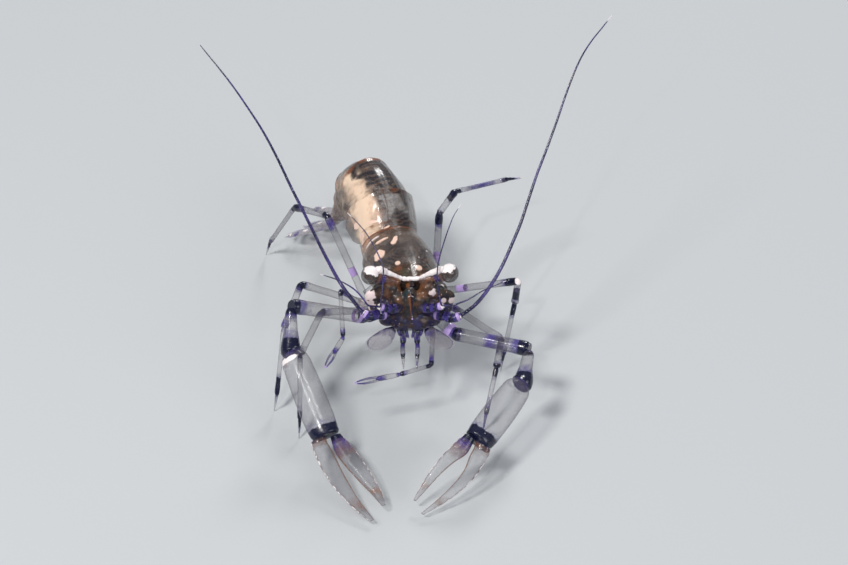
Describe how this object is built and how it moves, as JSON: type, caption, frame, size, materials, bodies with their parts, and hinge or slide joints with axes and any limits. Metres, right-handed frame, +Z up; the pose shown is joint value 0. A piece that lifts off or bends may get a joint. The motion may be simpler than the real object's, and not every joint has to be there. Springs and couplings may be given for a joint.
{
  "type": "cleaner shrimp",
  "caption": "Life-size still model of a clear cleaner shrimp with navy-banded claws, swept-back feelers, an arched abdomen and a tail fan.",
  "frame": {"origin": "middle of the model's footprint at floor level, where its feet rest", "axes": "+Z up, -Y the way the shrimp faces, +X to the animal's left"},
  "size_m": [0.0202, 0.024, 0.015],
  "materials": {
    "shell": "wet gloss, clear and smoky",
    "abdomen": "wet gloss, clear with a dark hinge at each plate",
    "tail_fan": "wet gloss, clear with white and violet marks",
    "eye": "wet gloss, grey-brown with a white cap",
    "eyestalk": "wet gloss, white band",
    "feeler": "satin, dark navy violet",
    "mouthparts": "wet gloss, blue violet",
    "claw": "wet gloss, clear with navy bands",
    "small_claw": "wet gloss, clear with blue violet joints",
    "leg": "wet gloss, clear with navy bands",
    "swimmeret": "wet gloss, clear"
  },
  "bodies": {
    "root": {"carapace": "shell", "rostrum": "shell", "somite_1": "abdomen", "somite_2": "abdomen", "somite_3": "abdomen", "somite_4": "abdomen", "somite_5": "abdomen", "somite_6": "abdomen", "telson": "tail_fan", "uropod_left_inner": "tail_fan", "uropod_left_outer": "tail_fan", "uropod_right_inner": "tail_fan", "uropod_right_outer": "tail_fan", "swimmeret_left_1": "swimmeret", "swimmeret_right_1": "swimmeret", "swimmeret_left_2": "swimmeret", "swimmeret_right_2": "swimmeret", "swimmeret_left_3": "swimmeret", "swimmeret_right_3": "swimmeret", "swimmeret_left_4": "swimmeret", "swimmeret_right_4": "swimmeret", "swimmeret_left_5": "swimmeret", "swimmeret_right_5": "swimmeret", "eye_left": "eye", "eyestalk_left": "eyestalk", "eye_right": "eye", "eyestalk_right": "eyestalk", "antennule_left": "mouthparts", "whisker_left_upper": "feeler", "whisker_left_lower": "feeler", "antennule_right": "mouthparts", "whisker_right_upper": "feeler", "whisker_right_lower": "feeler", "antenna_left": "mouthparts", "feeler_left": "feeler", "antenna_scale_left": "mouthparts", "antenna_right": "mouthparts", "feeler_right": "feeler", "antenna_scale_right": "mouthparts", "mouthparts": "mouthparts", "jaw_foot_left": "mouthparts", "jaw_foot_right": "mouthparts", "small_claw_arm_left": "small_claw", "small_claw_left": "small_claw", "small_claw_arm_right": "small_claw", "small_claw_right": "small_claw", "claw_arm_left": "claw", "claw_wrist_left": "claw", "claw_palm_left": "claw", "claw_finger_left": "claw", "claw_arm_right": "claw", "claw_wrist_right": "claw", "claw_palm_right": "claw", "claw_finger_right": "claw", "leg_left_front": "leg", "leg_left_middle": "leg", "leg_left_rear": "leg", "leg_right_front": "leg", "leg_right_middle": "leg", "leg_right_rear": "leg"}
  },
  "joints": []
}
